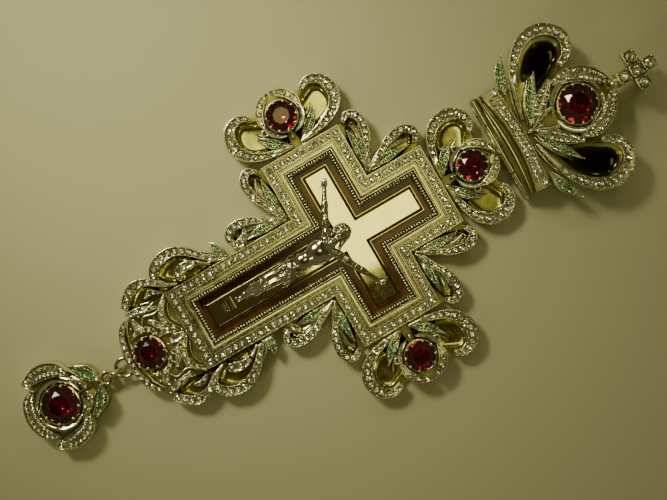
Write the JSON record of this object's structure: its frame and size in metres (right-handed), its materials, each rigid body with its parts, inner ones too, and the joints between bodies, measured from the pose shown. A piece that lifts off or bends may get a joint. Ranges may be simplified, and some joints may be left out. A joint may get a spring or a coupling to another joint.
{
  "type": "pectoral cross",
  "caption": "Jewelled pectoral cross with a crucifix figure, a hinged crown with a chain bail, scrollwork borders and a linked drop pendant.",
  "frame": {"origin": "on the flat back face, behind the crossing of the limbs", "axes": "+X along the arms, +Y up the long limb to the crown, +Z out of the face"},
  "size_m": [0.0774, 0.1686, 0.0099],
  "materials": {
    "silver": "polished silver, softly worn, darkened in the recesses",
    "mirror_silver": "mirror-polished silver",
    "figure_silver": "cast silver, polished on the high places, darkened in the folds",
    "gilt": "gilt plate, polished front, satin back",
    "enamel": "glossy dark burgundy enamel",
    "pin": "drawn pin, polished by wear",
    "garnet": "faceted deep red stone",
    "clear_stone": "faceted clear stone",
    "green_stone": "faceted green stone"
  },
  "bodies": {
    "cross": {"back_plate": "gilt", "cross_frame": "silver", "beaded_rim": "silver", "enamel_panel": "enamel", "inner_cross": "mirror_silver", "corpus": "figure_silver", "corpus_nails": "silver", "foot_rest": "silver", "trefoil_left": "silver", "trefoil_right": "silver", "trefoil_top": "silver", "corner_scroll_upper_left": "silver", "corner_scroll_upper_right": "silver", "corner_scroll_lower_left": "silver", "corner_scroll_lower_right": "silver", "side_scroll_left": "silver", "side_scroll_right": "silver", "foot_scrollwork": "silver", "flower_left": "silver", "flower_right": "silver", "flower_top": "silver", "foot_setting": "silver", "garnet_left": "garnet", "garnet_right": "garnet", "garnet_top": "garnet", "garnet_foot": "garnet", "frame_stones": "clear_stone", "clear_stones_cross": "clear_stone", "green_stones_cross": "green_stone", "cross_knuckle": "silver", "drop_eyelet": "silver"},
    "crown": {"crown_back_plate": "gilt", "crown_band": "silver", "crown_knuckles": "silver", "hinge_pin": "pin", "crown_loops": "silver", "crown_side_leaves": "silver", "crown_flower": "silver", "garnet_crown": "garnet", "crown_finial": "silver", "finial_stones": "clear_stone", "chain_bail": "silver", "clear_stones_crown": "clear_stone", "green_stones_crown": "green_stone"},
    "link": {"drop_link": "silver"},
    "drop": {"drop_back_plate": "gilt", "drop_petals": "silver", "drop_leaves": "silver", "drop_setting": "silver", "garnet_drop": "garnet", "clear_stones_drop": "clear_stone", "green_stones_drop": "green_stone", "drop_eye": "silver"}
  },
  "joints": [
    {"name": "crown_hinge", "type": "hinge", "parent": "cross", "child": "crown", "pos_m": [0, 0.0406, 0.0026], "axis": [1, 0, 0], "range_deg": [-90, 30]},
    {"name": "link_swing", "type": "hinge", "parent": "cross", "child": "link", "pos_m": [0, -0.0636, 0.0025], "axis": [1, 0, 0], "range_deg": [-70, 70]},
    {"name": "drop_sway", "type": "hinge", "parent": "link", "child": "drop", "pos_m": [0, -0.0663, 0.0025], "axis": [0, 0, 1], "range_deg": [-35, 35]}
  ]
}
